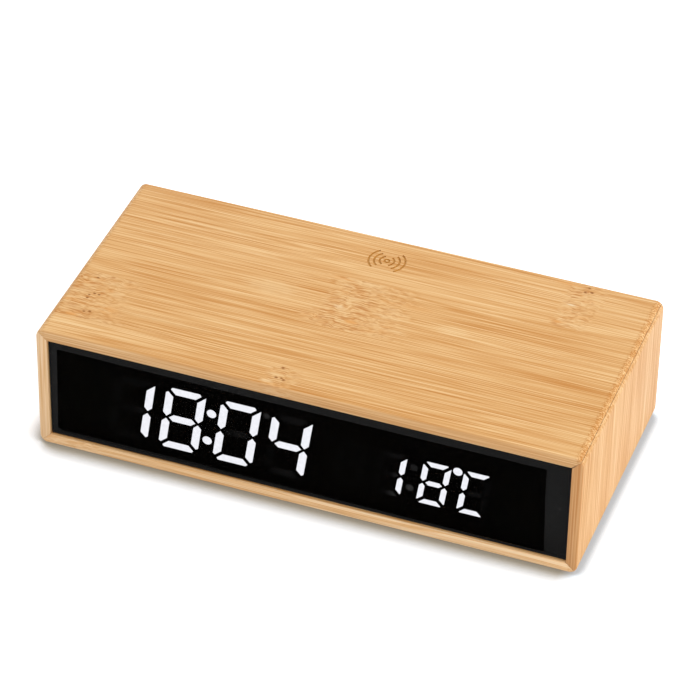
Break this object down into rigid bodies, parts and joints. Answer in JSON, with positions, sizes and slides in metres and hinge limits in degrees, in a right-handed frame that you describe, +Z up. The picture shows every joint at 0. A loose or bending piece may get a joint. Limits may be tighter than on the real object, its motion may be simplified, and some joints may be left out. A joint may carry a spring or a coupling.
{
  "type": "wireless charger clock",
  "caption": "Bedside digital clock in a mitred bamboo case, with a smoked display window, rear push buttons and a wireless charging pad under the top panel.",
  "frame": {"origin": "centre of the footprint, on the surface under the rubber feet", "axes": "+X along the length, to the right of someone who reads the display, -Y out of the display, +Z up"},
  "size_m": [0.2, 0.095, 0.0508],
  "materials": {
    "bamboo": "clear varnish, satin",
    "foot_rubber": "matt",
    "smoked_lens": "smoked clear acrylic, gloss",
    "border_print": "printed film, matt",
    "black_plastic": "fine grain, matt",
    "cover_plastic": "fine spark texture, matt",
    "lit_filling": "clear resin, lit from behind",
    "unlit_filling": "clear resin, unlit",
    "circuit_board": "solder mask, satin",
    "chip_black": "moulded, matt",
    "led_resin": "clear resin over phosphor",
    "steel_screw": "zinc plated",
    "black_screw": "blackened, satin",
    "ferrite": "sintered ferrite, matt",
    "can_metal": "drawn, satin",
    "copper": "enamelled wire",
    "spring_brass": "bright",
    "cable_grey": "flexible, satin",
    "plug_ivory": "moulded",
    "button_plastic": "moulded, satin",
    "plunger_plastic": "moulded, satin",
    "shell_steel": "nickel plated",
    "tongue_plastic": "moulded",
    "cell_steel": "nickel plated, brushed"
  },
  "bodies": {
    "clock": {"top_panel": "bamboo", "bottom_panel": "bamboo", "left_panel": "bamboo", "right_panel": "bamboo", "rubber_feet": "foot_rubber", "display_lens": "smoked_lens", "border_film": "border_print", "light_box": "black_plastic", "chassis": "black_plastic", "coil_carrier": "black_plastic", "cell_cup": "black_plastic", "rear_cover": "cover_plastic", "time_digits": "lit_filling", "time_colon": "lit_filling", "temperature_digits": "lit_filling", "degree_dot": "lit_filling", "unlit_segments": "unlit_filling", "display_board": "circuit_board", "main_board": "circuit_board", "button_board": "circuit_board", "driver_chip": "chip_black", "clock_chip": "chip_black", "charge_controller": "chip_black", "light_sensor": "chip_black", "buzzer": "chip_black", "button_switches": "chip_black", "temperature_sensor": "chip_black", "segment_leds": "led_resin", "display_screws": "steel_screw", "chassis_screws": "steel_screw", "board_screws": "steel_screw", "carrier_screws": "steel_screw", "button_board_screws": "steel_screw", "cover_screws": "black_screw", "ferrite_disc": "ferrite", "power_inductor": "ferrite", "capacitors": "can_metal", "crystal": "can_metal", "charging_coil": "copper", "coil_leads": "copper", "cell_spring": "spring_brass", "display_ribbon": "cable_grey", "button_ribbon": "cable_grey", "cable_plugs": "plug_ivory", "socket_shell": "shell_steel", "socket_tongue": "tongue_plastic", "coin_cell": "cell_steel"},
    "mode_button": {"mode_button": "button_plastic", "mode_plunger": "plunger_plastic"},
    "set_button": {"set_button": "button_plastic", "set_plunger": "plunger_plastic"},
    "up_button": {"up_button": "button_plastic", "up_plunger": "plunger_plastic"},
    "down_button": {"down_button": "button_plastic", "down_plunger": "plunger_plastic"},
    "battery_door": {"battery_door": "cover_plastic"}
  },
  "joints": [
    {"name": "mode_press", "type": "slide", "parent": "clock", "child": "mode_button", "axis": [0, -1, 0], "range_m": [0, 0.0005], "stiffness_N_per_m": 1000, "springref_m": -0.0005},
    {"name": "set_press", "type": "slide", "parent": "clock", "child": "set_button", "axis": [0, -1, 0], "range_m": [0, 0.0005], "stiffness_N_per_m": 1000, "springref_m": -0.0005},
    {"name": "up_press", "type": "slide", "parent": "clock", "child": "up_button", "axis": [0, -1, 0], "range_m": [0, 0.0005], "stiffness_N_per_m": 1000, "springref_m": -0.0005},
    {"name": "down_press", "type": "slide", "parent": "clock", "child": "down_button", "axis": [0, -1, 0], "range_m": [0, 0.0005], "stiffness_N_per_m": 1000, "springref_m": -0.0005},
    {"name": "battery_door_turn", "type": "hinge", "parent": "clock", "child": "battery_door", "pos_m": [-0.069, 0.0445, 0.0258], "axis": [0, 1, 0], "range_deg": [0, 60]}
  ]
}
